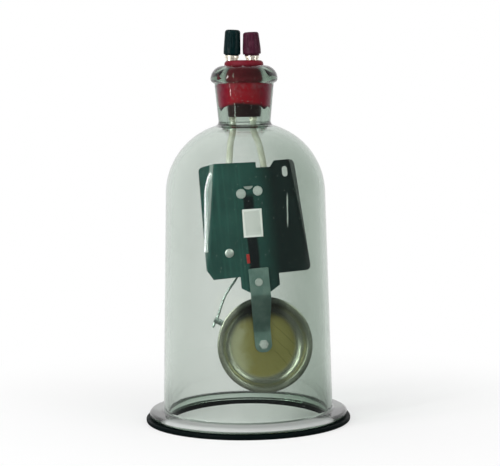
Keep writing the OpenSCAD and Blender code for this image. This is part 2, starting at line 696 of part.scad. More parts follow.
module contact_bracket() color([0.72, 0.76, 0.72]) in_bell() difference() {
  union() {
    translate([post_foot[0], foot_y, post_foot[1]]) cube([post_x - post_foot[0], bracket_t, post_foot_h]);
    translate([post_x - bracket_t, foot_y, post_foot[1] + over])
      cube([bracket_t, magnet_y + post_past - foot_y, contact_z + post_past - post_foot[1] - over]);
  }
  back_to(side_rivet_at[0], -over, side_rivet_at[1]) cylinder(d = side_shank_d + 2 * fit, h = 9);
  right_to(post_x - bracket_t - over, magnet_y, contact_z)
    cylinder(d = contact_d + 2 * run_fit, h = bracket_t + 2 * over);
}
nut_h = 2;
head_x = post_x - bracket_t - nut_h - 3.6;
module contact_screw() color([0.78, 0.7, 0.45]) in_bell() difference() {
  union() {
    right_to(head_x, magnet_y, contact_z) cylinder(d = contact_d, h = tip_x - touch_gap - 2 - head_x);
    right_to(tip_x - touch_gap - 2 - over, magnet_y, contact_z) cylinder(d = 1.6, h = 2 + over);
    right_to(head_x - 2.4, magnet_y, contact_z) cylinder(d = 6.6, h = 2.4);
  }
  translate([head_x - 3, magnet_y - 5, contact_z - 0.4]) cube([1.6, 10, 0.8]);
}
module contact_lock_nut() color([0.78, 0.7, 0.45]) in_bell()
  right_to(post_x - bracket_t - nut_h, magnet_y, contact_z) hex_nut(5.5, nut_h, contact_d + 2 * run_fit);

// Hammer: a bent wire from the armature's foot to the side of the gong
gong_x = 0;
wire_y = 6;
hammer_wire = [
  [arm_x, magnet_y, -armature_h / 2 + arm_hole - 0.3], [arm_x, magnet_y, -armature_h / 2 + 1],
  [arm_x, magnet_y, -armature_h / 2 - 1.5], [-1.5, 10, -19],
  [-7.5, 8, -28.5], [-15, wire_y + 0.2, -39.8], [-19.2, wire_y, -44.6], [-23.6, wire_y, -50.6],
  [-26.8, wire_y, -57], [-29.1, wire_y, -62.4], [-31.06, wire_y, -65.8], [-33.8, wire_y, -70.4]
];
hammer_at = hammer_wire[10];
hammer_past = 1.3;
module hammer_arm() color([0.72, 0.74, 0.7]) in_bell() tube(hammer_wire, hammer_wire_d, 3);
module hammer_head() {
  aim = atan2(-gong_drop - hammer_at[2], gong_x - hammer_at[0]);
  color([0.72, 0.74, 0.7]) in_bell() difference() {
    translate(hammer_at) rotate([0, 90 - aim, 0]) translate([0, 0, -hammer_past])
      cylinder(d = hammer_d, h = hammer_l);
    tube([hammer_wire[9], hammer_at, hammer_wire[11]], hammer_wire_d + 0.3, 1);
  }
}

// Gong on its strip, open towards the front
gong_rim_y = 1;
gong_back_y = gong_rim_y + gong_depth;
floor_r = gong_floor_d / 2;
gong_hole = 3.1;
module gong() {
  lip = gong_d / 2;
  wall_top = lip - 2.4;
  color([0.6, 0.56, 0.4]) in_bell() back_to(gong_x, gong_rim_y, -gong_drop) rotate_extrude() polygon(concat(
    [[gong_hole / 2, gong_depth - gong_t], [floor_r - 2, gong_depth - gong_t]],
    arc(floor_r - 2, gong_depth - gong_t - 4.5, 4.5, 90, 30, 5),
    [[wall_top - gong_t, 2.2], [wall_top, gong_t], [lip - 0.6, 0]],
    [[lip, 0.5], [lip - 0.4, gong_t], [wall_top + 0.6, gong_t + 0.9]],
    arc(floor_r - 2, gong_depth - gong_t - 4.5, 4.5 + gong_t, 30, 90, 5),
    [[gong_hole / 2, gong_depth]]
  ));
}
floor_y = gong_back_y - gong_t;
strip_top = -33.5;
strip_low_w = 11.6;
strip_bend = [-54, -75];
strip_end = -gong_drop - 5.5;
module gong_strip() color([0.52, 0.6, 0.56]) in_bell() difference() {
  intersection() {
    strip(strip_w) polygon([
      [0, strip_top], [0, strip_bend[0]], [floor_y, strip_bend[1]], [floor_y, strip_end],
      [floor_y - strip_t, strip_end], [floor_y - strip_t, strip_bend[1] - 0.5],
      [-strip_t, strip_bend[0] - 0.5], [-strip_t, strip_top]
    ]);
    sheet(-5, 30) polygon(outline([
      [-strip_w / 2, strip_top, 0.8], [strip_w / 2, strip_top, 0.8], [strip_w / 2, strip_bend[0], 3],
      [strip_low_w / 2, strip_bend[1], 3], [strip_low_w / 2, strip_end, 5], [-strip_low_w / 2, strip_end, 5],
      [-strip_low_w / 2, strip_bend[1], 3], [-strip_w / 2, strip_bend[0], 3]
    ]));
  }
  back_to(strip_rivet_at[0], -5, strip_rivet_at[1]) cylinder(d = rivet_d + 2 * fit, h = 9);
  back_to(gong_x, 0, -gong_drop) cylinder(d = gong_hole, h = 20);
}
module strip_rivet() color([0.75, 0.8, 0.76]) in_bell() 
  back_to(strip_rivet_at[0], -strip_t, strip_rivet_at[1]) rivet(5.5, 0.8, rivet_d, strip_t + sheet_t);
screw_d = 3;
module gong_screw() color([0.7, 0.7, 0.62]) in_bell() back_to(gong_x, floor_y - strip_t - 2.9, -gong_drop)
  difference() {
    union() {
      cylinder(d = screw_d, h = 2.9 + strip_t + gong_t + over);
      translate([0, 0, 2.9 + strip_t + gong_t]) cylinder(d1 = 7, d2 = 5.2, h = 2.2);
    }
    translate([-5, -0.4, 2.9 + strip_t + gong_t + 1.3]) cube([10, 0.8, 2]);
  }
module gong_nut() color([0.75, 0.78, 0.72]) in_bell()
  back_to(gong_x, floor_y - strip_t - 2.4, -gong_drop) hex_nut(5.5, 2.4, screw_d + 2 * fit);

// Leads and wires, in the bell's frame
lead_top = stem_end - 0.1;
left_route = [
  [-6.95, 2.15, 66.6], [-7.2, 2.5, 62.5], [-8, 3.2, 58], [-9.7, 4.2, 51.8], [-11.4, 4.4, 41.2],
  [lead_foot_x[0], lead_back, 33.4], [lead_foot_x[0], lead_back, 28], [lead_foot_x[0], lead_back, 22.4]
];
right_route = [
  [6.65, 0.1, 65.4], [6.4, 0.45, 61.3], [7.2, 0.5, 56.6], [9.1, 0.9, 50.4], [10.7, 2.4, 40.8],
  [lead_foot_x[1], lead_back, 33.8], [lead_foot_x[1], lead_back, 28], [lead_foot_x[1], lead_back, 22.4]
];
// The sleeve is pushed over the stud's tail, so its top is bored and cut level
module lead(points, x) color([0.8, 0.79, 0.72]) difference() {
  in_bell() tube(points, lead_d, 3, 10);
  translate([x, 0, stem_end - tail_l - 0.6]) cylinder(d = tail_d + 1, h = 20);
  translate([-20, -20, lead_top]) cube([40, 40, 20]);
}
module left_lead() lead(left_route, -black_x);
module right_lead() lead(right_route, red_x);

feed_route = [[lead_foot_x[1], lead_back, 22.2], [11.4, 3.8, 17], [12.4, 5, 11.5], [13, 7.2, 7.4]];
return_route = [[9, 8, -7.4], [8.4, 5.6, -11.5], [3, 4, -17], [-6, 4, -20], [-11.9, 4.4, -20]];
frame_route = [[lead_foot_x[0], lead_back, 22.2], [-12.7, 3.8, 18], [-11.2, 3.6, 15.4], [-8.8, 3.05, 14.6]];
module coil_feed_wire() color([0.72, 0.45, 0.25]) in_bell() tube(feed_route, wire_d, 3);
module coil_contact_wire() color([0.72, 0.45, 0.25]) in_bell() tube(return_route, wire_d, 3);
module frame_wire() color([0.72, 0.45, 0.25]) in_bell() tube(frame_route, wire_d, 3);

bell_jar();
sealing_gasket();
rubber_stopper();
black_post_stud();
red_post_stud();
black_post_collar();
red_post_collar();
lower_washers();
lower_nuts();
black_clamp_washer();
red_clamp_washer();
black_cap();
red_cap();
left_lead();
right_lead();
housing();
lead_clips();
clip_rivets();
top_rivets();
side_rivet();
label_plate();
magnet_yoke();
yoke_rivets();
magnet_core();
coil_bobbin();
coil_winding();
spring_bracket();
spring_clamp();
clamp_screws();
armature_spring();
armature();
armature_rivets();
contact_spring();
contact_tip();
contact_insulator();
contact_bracket();
contact_screw();
contact_lock_nut();
hammer_arm();
hammer_head();
gong_strip();
strip_rivet();
gong();
gong_screw();
gong_nut();
coil_feed_wire();
coil_contact_wire();
frame_wire();
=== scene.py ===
"""Bell in vacuum apparatus: the glass, finishes and leads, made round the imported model."""
import math

import bpy
import numpy as np
from mathutils import Matrix


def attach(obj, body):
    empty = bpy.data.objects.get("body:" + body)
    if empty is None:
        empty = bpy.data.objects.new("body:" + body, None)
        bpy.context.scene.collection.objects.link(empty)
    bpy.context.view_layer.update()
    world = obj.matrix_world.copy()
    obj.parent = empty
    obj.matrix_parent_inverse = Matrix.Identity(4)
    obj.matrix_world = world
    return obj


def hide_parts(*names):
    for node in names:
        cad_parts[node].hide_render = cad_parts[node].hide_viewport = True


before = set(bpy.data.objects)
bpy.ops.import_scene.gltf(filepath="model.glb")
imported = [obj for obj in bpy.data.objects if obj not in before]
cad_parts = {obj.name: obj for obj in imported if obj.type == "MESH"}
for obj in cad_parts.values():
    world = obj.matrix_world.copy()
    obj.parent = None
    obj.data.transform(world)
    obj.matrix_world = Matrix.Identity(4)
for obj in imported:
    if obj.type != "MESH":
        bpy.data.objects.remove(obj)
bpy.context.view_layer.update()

# Sizes, in millimetres, and the places that the model's own source gives
MM = 0.001
BELL_PLACE = np.array([4.9, -6.0, 138.2])
BELL_TURN = (-5.0, -4.3, 9.0)
ROUND_STEPS = 192
SPAN_STEPS = 8
JAR_WALL = 3.5
GASKET_T = 3.2
STOPPER_TOP, STOPPER_FOOT = 244.5, 207.0
BORE_R, SEAT_R, SEAT_LOW, TAPER = 11.0, 11.1, 206.0, 3.5
RIM_Z, RIM_ROUND, LIP_UNDER = 241.2, 9.0, 2.8
SHOULDER_Z, SHOULDER_R, JAR_TOP_R, JAR_FOOT_R = 155.0, 48.0, 54.0, 57.5
GONG_PLACE = np.array([0.0, 1.0, -85.7])
GONG_R, GONG_FLOOR_R, GONG_DEPTH, GONG_T = 32.5, 23.5, 10.6, 1.2
LEAD_D = 4.4
LEAD_BACK = 3.3
AXIS_GAP = 0.02


def turn_matrix(degrees):
    """Turns about x, then y, then z."""
    a, b, c = np.radians(degrees)
    about_x = np.array([[1, 0, 0], [0, np.cos(a), -np.sin(a)], [0, np.sin(a), np.cos(a)]])
    about_y = np.array([[np.cos(b), 0, np.sin(b)], [0, 1, 0], [-np.sin(b), 0, np.cos(b)]])
    about_z = np.array([[np.cos(c), -np.sin(c), 0], [np.sin(c), np.cos(c), 0], [0, 0, 1]])
    return about_z @ about_y @ about_x


BELL_AXES = turn_matrix(BELL_TURN)


def in_bell(points):
    """From the bell's own frame (x right, y back, z up) to the part's frame."""
    return np.asarray(points, float) @ BELL_AXES.T + BELL_PLACE


def in_part(points):
    """Points that are already in the part's frame."""
    return np.asarray(points, float)


# Surfaces

def grid_quads(rows, cols, wrap_rows=False):
    """One quad between each four neighbours of a grid of points, whose columns run round."""
    i = np.arange(rows if wrap_rows else rows - 1)[:, None]
    j = np.arange(cols)[None, :]
    i_next, j_next = (i + 1) % rows, (j + 1) % cols
    corners = [i * cols + j, i * cols + j_next, i_next * cols + j_next, i_next * cols + j]
    return np.stack(np.broadcast_arrays(*corners), -1).reshape(-1, 4)


def end_faces(rows, cols):
    """The two faces that close the first and the last row of a grid."""
    first = np.arange(cols)
    return [first[::-1], first + (rows - 1) * cols]


def signed_volume(points, faces):
    """Sum of the tetrahedra between the origin and each face, positive if faces point outwards."""
    total = 0.0
    for face in faces:
        a = points[face[0]]
        b, c = points[face[1:-1]], points[face[2:]]
        total += np.einsum("j,ij->", a, np.cross(b, c))
    return total


def add_piece(name, points, faces, material, body, sharp=50.0):
    """A mesh object at the origin from points in millimetres, its faces turned outwards."""
    points = np.asarray(points, float).reshape(-1, 3)
    faces = [np.asarray(f, int) for f in faces]
    middle = points.mean(0)
    if signed_volume(points - middle, faces) < 0:
        faces = [f[::-1] for f in faces]
    mesh = bpy.data.meshes.new(name)
    mesh.from_pydata((points * MM).tolist(), [], [f.tolist() for f in faces])
    mesh.validate()
    mesh.shade_smooth()
    mesh.set_sharp_from_angle(angle=math.radians(sharp))
    piece = bpy.data.objects.new(name, mesh)
    bpy.context.scene.collection.objects.link(piece)
    mesh.materials.append(material)
    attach(piece, body)
    return piece


def lathe(name, profile, material, body, place=in_part, steps=96, closed=False, swell=None, sharp=50.0):
    """A profile of (radius, height) turned about the z axis; swell(angle, height) is added to the radius."""
    profile = np.asarray(profile, float)
    angle = np.linspace(0, 2 * np.pi, steps, endpoint=False)
    radius = np.repeat(profile[:, :1], steps, axis=1)
    height = np.repeat(profile[:, 1:], steps, axis=1)
    if swell is not None:
        radius = radius + swell(angle[None, :], height)
    grid = np.stack([radius * np.cos(angle), radius * np.sin(angle), height], -1)
    rows = len(profile)
    faces = list(grid_quads(rows, steps, wrap_rows=closed))
    if not closed:
        faces += end_faces(rows, steps)
    return add_piece(name, place(grid.reshape(-1, 3)), faces, material, body, sharp)


def arc(cx, cy, r, start, end, n=12):
    """Points on a circle's arc, angles in degrees."""
    a = np.radians(np.linspace(start, end, n + 1))
    return np.stack([cx + r * np.cos(a), cy + r * np.sin(a)], -1)


def smooth_step(low, high, value):
    """0 below low, 1 above high, and a smooth cubic between."""
    t = np.clip((value - low) / (high - low), 0, 1)
    return t * t * (3 - 2 * t)


def smooth_route(points, per_span):
    """A curve through the points: each span is the cubic that passes its ends along their neighbours' chord."""
    p = np.asarray(points, float)
    before = np.vstack([p[:1], p[:-2]])
    after = np.vstack([p[2:], p[-1:]])
    t = np.linspace(0, 1, per_span, endpoint=False)[None, :, None]
    a, b, c, d = before[:, None], p[:-1, None], p[1:, None], after[:, None]
    curve = 0.5 * (2 * b + (c - a) * t + (2 * a - 5 * b + 4 * c - d) * t ** 2 + (3 * b - a - 3 * c + d) * t ** 3)
    return np.vstack([curve.reshape(-1, 3), p[-1:]])


def path_sides(path):
    """Unit vectors across and up at each point of a path that nowhere runs along y."""
    heading = np.gradient(path, axis=0)
    heading /= np.linalg.norm(heading, axis=1, keepdims=True)
    across = np.cross((0.0, 1.0, 0.0), heading)
    across /= np.linalg.norm(across, axis=1, keepdims=True)
    return across, np.cross(heading, across)


def tube(name, path, radius, material, body, sides):
    """A round section carried along a path; radius is one number or one per point."""
    across, up = path_sides(path)
    angle = np.linspace(0, 2 * np.pi, sides, endpoint=False)
    ring = np.cos(angle)[None, :, None] * across[:, None] + np.sin(angle)[None, :, None] * up[:, None]
    size = np.broadcast_to(np.asarray(radius, float), (len(path),))[:, None, None]
    grid = path[:, None] + ring * size
    faces = list(grid_quads(len(path), sides)) + end_faces(len(path), sides)
    return add_piece(name, grid.reshape(-1, 3), faces, material, body)


# Materials

def srgb(red, green, blue):
    """A colour as a picture writes it, 0 to 255, as linear light."""
    c = np.array([red, green, blue]) / 255.0
    linear = np.where(c <= 0.04045, c / 12.92, ((c + 0.055) / 1.055) ** 2.4)
    return (*linear.tolist(), 1.0)


class Shade:
    """A shader socket; arithmetic on it adds Math nodes to its tree."""

    def __init__(self, tree, socket):
        self.tree, self.socket = tree, socket

    def node(self, kind, settings, inputs, out=0):
        """Any node: its type, its settings, and the values or links of its sockets."""
        made = self.tree.nodes.new(kind)
        for key, value in settings.items():
            setattr(made, key, value)
        for key, value in inputs.items():
            if isinstance(value, Shade):
                self.tree.links.new(value.socket, made.inputs[key])
            else:
                made.inputs[key].default_value = value
        return Shade(self.tree, made.outputs[out])

    def math(self, operation, first, second=0.0):
        return self.node("ShaderNodeMath", {"operation": operation}, {0: first, 1: second})

    def __add__(self, other):
        return self.math("ADD", self, other)

    def __sub__(self, other):
        return self.math("SUBTRACT", self, other)

    def __rsub__(self, other):
        return self.math("SUBTRACT", other, self)

    def __mul__(self, other):
        return self.math("MULTIPLY", self, other)

    __radd__ = __add__

    def at_least(self, other):
        return self.math("MAXIMUM", self, other)

    def step(self, low, high):
        """Smoothly 0 below low and 1 above high."""
        ends = {"From Min": low, "From Max": high}
        return self.node("ShaderNodeMapRange", {"interpolation_type": "SMOOTHSTEP"}, {"Value": self, **ends})

    def between(self, low, high):
        """1 between two soft edges, each given by where it starts and where it ends."""
        return self.step(*low) * (1 - self.step(*high))

    def sine(self):
        return self.math("SINE", self)

    def size(self):
        return self.math("ABSOLUTE", self)

    def blend(self, low, high):
        """The colour low where this is 0, and high where it is 1."""
        return self.node("ShaderNodeMix", {"data_type": "RGBA"}, {0: self, 6: low, 7: high}, out=2)

    def times_colour(self, other):
        """This colour times another."""
        settings = {"data_type": "RGBA", "blend_type": "MULTIPLY"}
        return self.node("ShaderNodeMix", settings, {0: 1.0, 6: self, 7: other}, out=2)


class Finish:
    """A material: a Principled shader and what feeds it."""

    def __init__(self, name, colour, roughness, metallic=0.0, **constants):
        self.material = bpy.data.materials.new(name)
        self.material.use_nodes = True
        self.tree = self.material.node_tree
        self.shader = self.tree.nodes["Principled BSDF"]
        self.set("Base Color", colour)
        self.set("Roughness", roughness)
        self.set("Metallic", metallic)
        for key, value in constants.items():
            self.set(key.replace("_", " ").title().replace("Ior", "IOR"), value)
        self.place = Shade(self.tree, self.tree.nodes.new("ShaderNodeTexCoord").outputs["Object"])

    def set(self, socket, value):
        if isinstance(value, Shade):
            self.tree.links.new(value.socket, self.shader.inputs[socket])
        else:
            self.shader.inputs[socket].default_value = value

    def noise(self, scale, detail=3.0, vector=None, distortion=0.0):
        """Cloudy values about 0.5; scale is in cycles per metre."""
        inputs = {"Vector": vector or self.place, "Scale": scale, "Detail": detail,
                  "Roughness": 0.55, "Distortion": distortion}
        return self.place.node("ShaderNodeTexNoise", {}, inputs)

    def cells(self, scale, out=0):
        """Distance to scattered points, or with out=1 their random colour."""
        return self.place.node("ShaderNodeTexVoronoi", {}, {"Vector": self.place, "Scale": scale}, out)

    def stretch(self, x, y, z, vector=None):
        """Coordinates scaled by a factor along each axis."""
        inputs = {"Vector": vector or self.place, "Scale": (x, y, z)}
        return self.place.node("ShaderNodeMapping", {}, inputs)

    def vector(self, operation, first, second=(0, 0, 0), out=0):
        """One step of vector arithmetic; out=1 is its number."""
        return self.place.node("ShaderNodeVectorMath", {"operation": operation}, {0: first, 1: second}, out)

    def away_from(self, point, axis):
        """Distance from a line through a point, all in metres."""
        moved = self.vector("SUBTRACT", self.place, point)
        flat = self.vector("SUBTRACT", moved, self.vector("PROJECT", moved, axis))
        return self.vector("LENGTH", flat, out=1)

    def on_bell(self):
        """Coordinates in the bell's own frame, in metres: x right, y back, z up."""
        turned = {"Vector": self.place, "Location": tuple((BELL_PLACE * MM).tolist()),
                  "Rotation": tuple(np.radians(BELL_TURN).tolist())}
        return self.place.node("ShaderNodeMapping", {"vector_type": "TEXTURE"}, turned)

    def parts(self, vector):
        """The three numbers of a vector."""
        return [self.place.node("ShaderNodeSeparateXYZ", {}, {0: vector}, out=k) for k in range(3)]

    def bump(self, height, strength, distance):
        """Raises the surface by height times distance, in metres."""
        inputs = {"Height": height, "Strength": strength, "Distance": distance}
        self.set("Normal", self.place.node("ShaderNodeBump", {}, inputs))

    def other(self, kind, **inputs):
        """The output of one more shader of a kind, with values for its sockets."""
        made = self.tree.nodes.new(kind)
        for key, value in inputs.items():
            made.inputs[key].default_value = value
        return made.outputs[0]

    def ray(self, fact):
        """A fact about the ray of light that meets the surface."""
        return Shade(self.tree, self.tree.nodes.new("ShaderNodeLightPath").outputs[fact])

    def mixed(self, factor, low, high):
        """The shader low where factor is 0, and high where it is 1."""
        mix = self.tree.nodes.new("ShaderNodeMixShader")
        for source, socket in zip((factor.socket, low, high), mix.inputs):
            self.tree.links.new(source, socket)
        return mix.outputs[0]

    def show(self, shader, end="Surface"):
        """Links a shader to the material's output."""
        self.tree.links.new(shader, self.tree.nodes["Material Output"].inputs[end])


def dust_mask(f):
    """Scattered small dots, more where a broad cloud is dense."""
    dots = 1 - f.cells(420).step(0.10, 0.18)
    cloud = f.noise(16, 2.0).step(0.52, 0.72)
    return dots * cloud * 0.35


def jar_glass():
    """Old glass that is greener the deeper one looks into it, with a thin film and painted shade to the right, soft
    waves, a few dust specks and a ground flange that is white in front, where the grease is dry; it lets light's
    shadow rays pass."""
    plain, clean, filmed_and_shaded = (0.86, 0.87, 0.86, 1), (0.985, 0.985, 0.98, 1), (0.675, 0.715, 0.68, 1)
    f = Finish("jar_glass", plain, 0.015, transmission_weight=1.0, ior=1.5)
    x, y, z = f.parts(f.place)
    # Painted shade: the tint grows darker towards the right, added to a random thin film.
    film_with_painted_light = (f.noise(30, 4.0) - 0.5) * 0.6 + x.step(-0.02, 0.055) * 0.9
    f.set("Base Color", film_with_painted_light.blend(clean, filmed_and_shaded))
    f.bump(f.noise(22, 1.0), 0.12, 0.0006)
    f.show(f.other("ShaderNodeVolumeAbsorption", Color=(0.51, 0.615, 0.54, 1), Density=114.0), "Volume")
    front = 1 - (y + (f.noise(60) - 0.5) * 0.01).step(-0.042, -0.034)
    dry = z.between((0.0044, 0.0054), (0.0077, 0.0083)) * front
    chalk = f.other("ShaderNodeBsdfDiffuse", Color=(0.85, 0.88, 0.86, 1))
    clear = f.other("ShaderNodeBsdfTransparent", Color=(0.93, 0.96, 0.94, 1))
    dusty = f.mixed(dust_mask(f).at_least(dry * 0.85), f.shader.outputs[0], chalk)
    f.show(f.mixed(f.ray("Is Shadow Ray"), dusty, clear))
    return f.material


def pressed_tones(f, dry, worn, wet, bloom):
    """The stopper's colours: a dark foot of painted shade, then a band, arched below, where glass presses it: the
    colour wet in the middle, mauve at the sides and with a pale film of painted reflection above."""
    x, _, height = f.parts(f.place)
    aside = x * x
    z = height + (f.noise(120) - 0.5) * 0.004
    arch = (1 - aside.step(0.0, 0.014 ** 2)) * 0.003
    pressed = (z - arch).step(0.212, 0.2145) * (1 - z.step(0.228, 0.234))
    mauve = aside.step(0.005 ** 2, 0.017 ** 2).blend(wet, srgb(158, 8, 86))
    # Painted reflection: a pale veil over the upper part of the pressed band.
    film_with_painted_light = z.step(0.219, 0.23) * f.noise(260, 3.0).step(0.35, 0.7) * 0.5
    # Painted shade: the foot below the band is dark.
    free = (1 - height.step(0.216, 0.219)).blend(dry, srgb(44, 14, 18))
    return pressed.blend(free, film_with_painted_light.blend((bloom * 0.4).blend(mauve, worn), srgb(170, 104, 118)))


def rubber(name, colour, worn, wet=None, shine=0.14):
    """Matt rubber with a pale bloom in clouds and a fine grain; wet is its colour where glass presses it."""
    f = Finish(name, colour, 0.6, specular_ior_level=shine)
    bloom = f.noise(90, 4.0).step(0.45, 0.75)
    tone = (bloom * 0.5).blend(colour, worn)
    if wet:
        tone = pressed_tones(f, tone, worn, wet, bloom)
    f.set("Base Color", tone)
    f.set("Roughness", 0.5 + bloom * 0.25)
    f.bump(f.noise(1800, 2.0), 0.25, 0.0002)
    return f.material


def nickel():
    """Bright warm plate with faint rub marks."""
    f = Finish("nickel_plate", srgb(236, 230, 212), 0.2, 0.6)
    marks = f.noise(260, 4.0, vector=f.stretch(1, 1, 6))
    f.set("Base Color", marks.step(0.35, 0.7).blend(srgb(222, 214, 194), srgb(248, 244, 230)))
    f.set("Roughness", 0.14 + marks * 0.22)
    f.bump(marks, 0.1, 0.0001)
    return f.material


def moulded(name, colour, worn):
    """Glossy phenolic moulding, dulled in patches."""
    f = Finish(name, colour, 0.28, specular_ior_level=0.09)
    patch = f.noise(220, 4.0).step(0.42, 0.72)
    f.set("Base Color", (patch * 0.45).blend(colour, worn))
    f.set("Roughness", 0.34 + patch * 0.2)
    f.bump(f.noise(900, 3.0), 0.06, 0.0001)
    return f.material


def enamel():
    """Dark green stove enamel: a glossy skin with orange peel, with painted shade down the middle, along the right
    fold and over the right part, painted reflections as faint upright lines at the left, specks, a bright line along
    the left fold that is worn bare sheet and a painted highlight, and a slim painted highlight at the right."""
    f = Finish("green_enamel", srgb(24, 50, 46), 0.1, specular_ior_level=0.1)
    bell = f.on_bell()
    x, _, z = f.parts(bell)
    cloud = f.noise(35, 2.0)
    drift = x + (cloud - 0.5) * 0.004
    # Painted shade: dark bands down the middle and beside the right fold, and a darker right part.
    middle = drift.between((-0.0062, -0.0046), (0.0006, 0.0024)) * (1 - z.step(0.014, 0.018))
    beside = drift.between((0.018, 0.021), (0.027, 0.031))
    dark = middle.at_least(beside * 0.8).at_least(drift.step(0.004, 0.017) * 0.84)
    # Painted reflections: faint lighter upright streaks at the left.
    lines = f.noise(420, 2.0, vector=f.stretch(1, 1, 0.03, bell)).step(0.48, 0.7) * (1 - x.step(-0.01, 0.004))
    field = (cloud.step(0.3, 0.7) * 0.7 + lines * 0.6).blend(srgb(29, 64, 59), srgb(44, 86, 79))
    ragged = (f.noise(500, 3.0) - 0.5) * 0.0012
    fold_x, fold_slope, line_x, line_slope = -0.0302, 0.155, 0.0237, 0.09
    left = (x - fold_x - z * fold_slope).size() + ragged - z.step(-0.03, 0.026) * 0.0004
    right = (x - line_x - z * line_slope).size() + ragged * 0.5
    # The bright line along the left fold is worn bare sheet and a faint painted highlight.
    worn = (1 - left.step(0.0003, 0.0009)) * (0.25 + z.step(-0.02, 0.004) * 0.75) * z.step(-0.034, -0.02)
    # Painted highlight: a slim bright line at the right.
    slim = (1 - right.step(0.0002, 0.0006)) * z.between((-0.009, -0.004), (0.011, 0.016))
    speck = 1 - f.cells(260).step(0.05, 0.09)
    bare = (worn * 0.3).at_least(slim * 0.75).at_least(speck * 0.3)
    f.set("Base Color", bare.blend(dark.blend(field, srgb(2, 16, 18)), srgb(236, 240, 237)))
    rub = f.noise(60, 5.0).step(0.5, 0.78)
    f.set("Roughness", 0.08 + rub * 0.16)
    f.bump(f.noise(300, 1.5), 0.1, 0.0002)
    return f.material


def zinc(name="zinc_plate", low=(112, 146, 138), high=(160, 188, 180), rough=0.3, metallic=0.85):
    """Zinc plate gone dull: soft grey clouds, a faint spangle and fine rub marks along its length."""
    f = Finish(name, srgb(*high), rough, metallic)
    cloud = f.noise(110, 4.0)
    marks = f.noise(900, 3.0, vector=f.stretch(1, 1, 0.15))
    spangle = f.cells(380, out=1)
    tone = cloud.step(0.25, 0.75) * 0.7 + marks * 0.2 + spangle * 0.1
    f.set("Base Color", tone.blend(srgb(*low), srgb(*high)))
    f.set("Roughness", rough - 0.1 + cloud * 0.15 + marks * 0.1)
    f.bump(marks, 0.08, 0.0001)
    return f.material


def gong_metal():
    """Spun dish whose plate has gone olive and brown on the floor and grey on the wall, with turning rings, a few
    slanting scratches and a painted dark reflection of the plate at the top of the dish, round the strip."""
    f = Finish("gong_metal", srgb(150, 142, 108), 0.3, 0.75)
    centre = tuple((in_bell(GONG_PLACE) * MM).tolist())
    radius = f.away_from(centre, tuple(BELL_AXES[:, 1].tolist()))
    x, _, z = f.parts(f.on_bell())
    rings = (radius * 9000 + f.noise(60, 2.0) * 3).sine() * 0.5 + 0.5
    cloud = f.noise(70, 4.0, distortion=0.6)
    floor = 1 - radius.step(0.0205, 0.0245)
    wall = (rings * 0.2 + cloud * 0.6).blend(srgb(120, 124, 108), srgb(206, 208, 192))
    side = (x + (cloud - 0.5) * 0.02).step(-0.021, -0.006)
    tint = side.blend(srgb(250, 250, 212), srgb(190, 180, 114))
    gold = (rings * 0.15 + cloud * 0.7).blend(srgb(224, 226, 216), srgb(255, 255, 250)).times_colour(tint)
    scratch = (x * 760 + z * 620 + cloud * 5).sine().step(0.975, 1.0) * x.step(0.004, 0.01) * floor
    # Painted reflection: a dark patch at the top of the dish round the strip stands for the plate mirrored there.
    across = x + (cloud - 0.5) * 0.006
    above = z - float(GONG_PLACE[2] * MM)
    painted_dark_reflection = above.step(0.014, 0.022) * (1 - (across * across).step(0.012 ** 2, 0.019 ** 2))
    plate = (scratch * 0.5).blend(floor.blend(wall, gold), srgb(84, 78, 52))
    f.set("Base Color", (painted_dark_reflection * 0.8).blend(plate, srgb(36, 52, 44)))
    f.set("Roughness", 0.2 + floor * 0.12 + rings * 0.06)
    f.bump(rings, 0.05, 0.0001)
    return f.material


def iron():
    """Bare soft iron, oiled, with a mill grain."""
    f = Finish("soft_iron", srgb(112, 112, 108), 0.42, 0.9)
    grain = f.noise(420, 5.0, vector=f.stretch(1, 1, 0.25))
    rust = f.noise(180, 5.0).step(0.62, 0.75)
    f.set("Base Color", (rust * 0.5).blend(srgb(112, 112, 108), srgb(110, 78, 52)))
    f.set("Roughness", 0.32 + grain * 0.25)
    f.bump(grain, 0.15, 0.0002)
    return f.material


def sleeve():
    """Pale plastic sleeving, slightly yellowed, with a faint drawn grain."""
    f = Finish("lead_sleeve", srgb(218, 216, 202), 0.36, coat_weight=0.15, coat_roughness=0.2)
    age = f.noise(120, 3.0)
    f.set("Base Color", age.step(0.3, 0.75).blend(srgb(204, 202, 184), srgb(230, 229, 218)))
    f.set("Roughness", 0.3 + age * 0.18)
    f.bump(f.noise(700, 2.0, vector=f.stretch(1, 1, 0.1)), 0.1, 0.0002)
    return f.material


def spring_brass(name="spring_brass", low=(150, 118, 58), high=(206, 176, 104)):
    """Rolled brass with a tarnish."""
    f = Finish(name, srgb(*high), 0.3, 1.0)
    tarnish = f.noise(240, 4.0).step(0.35, 0.7)
    f.set("Base Color", tarnish.blend(srgb(*low), srgb(*high)))
    f.set("Roughness", 0.24 + tarnish * 0.16)
    f.bump(tarnish, 0.08, 0.0001)
    return f.material


def fibre(name, colour, pale):
    """Pressed fibre or moulding with short flecks."""
    f = Finish(name, colour, 0.5)
    fleck = f.noise(600, 4.0, vector=f.stretch(1, 1, 0.3)).step(0.4, 0.7)
    f.set("Base Color", (fleck * 0.6).blend(colour, pale))
    f.set("Roughness", 0.42 + fleck * 0.2)
    f.bump(fleck, 0.1, 0.0002)
    return f.material


def tape():
    """Varnished cotton tape, woven fine."""
    f = Finish("coil_tape", srgb(52, 84, 62), 0.55, sheen_weight=0.2)
    weave = f.cells(1500)
    f.set("Base Color", f.noise(150, 4.0).blend(srgb(38, 66, 48), srgb(72, 104, 78)))
    f.set("Roughness", 0.45 + weave * 0.2)
    f.bump(weave, 0.25, 0.0002)
    return f.material


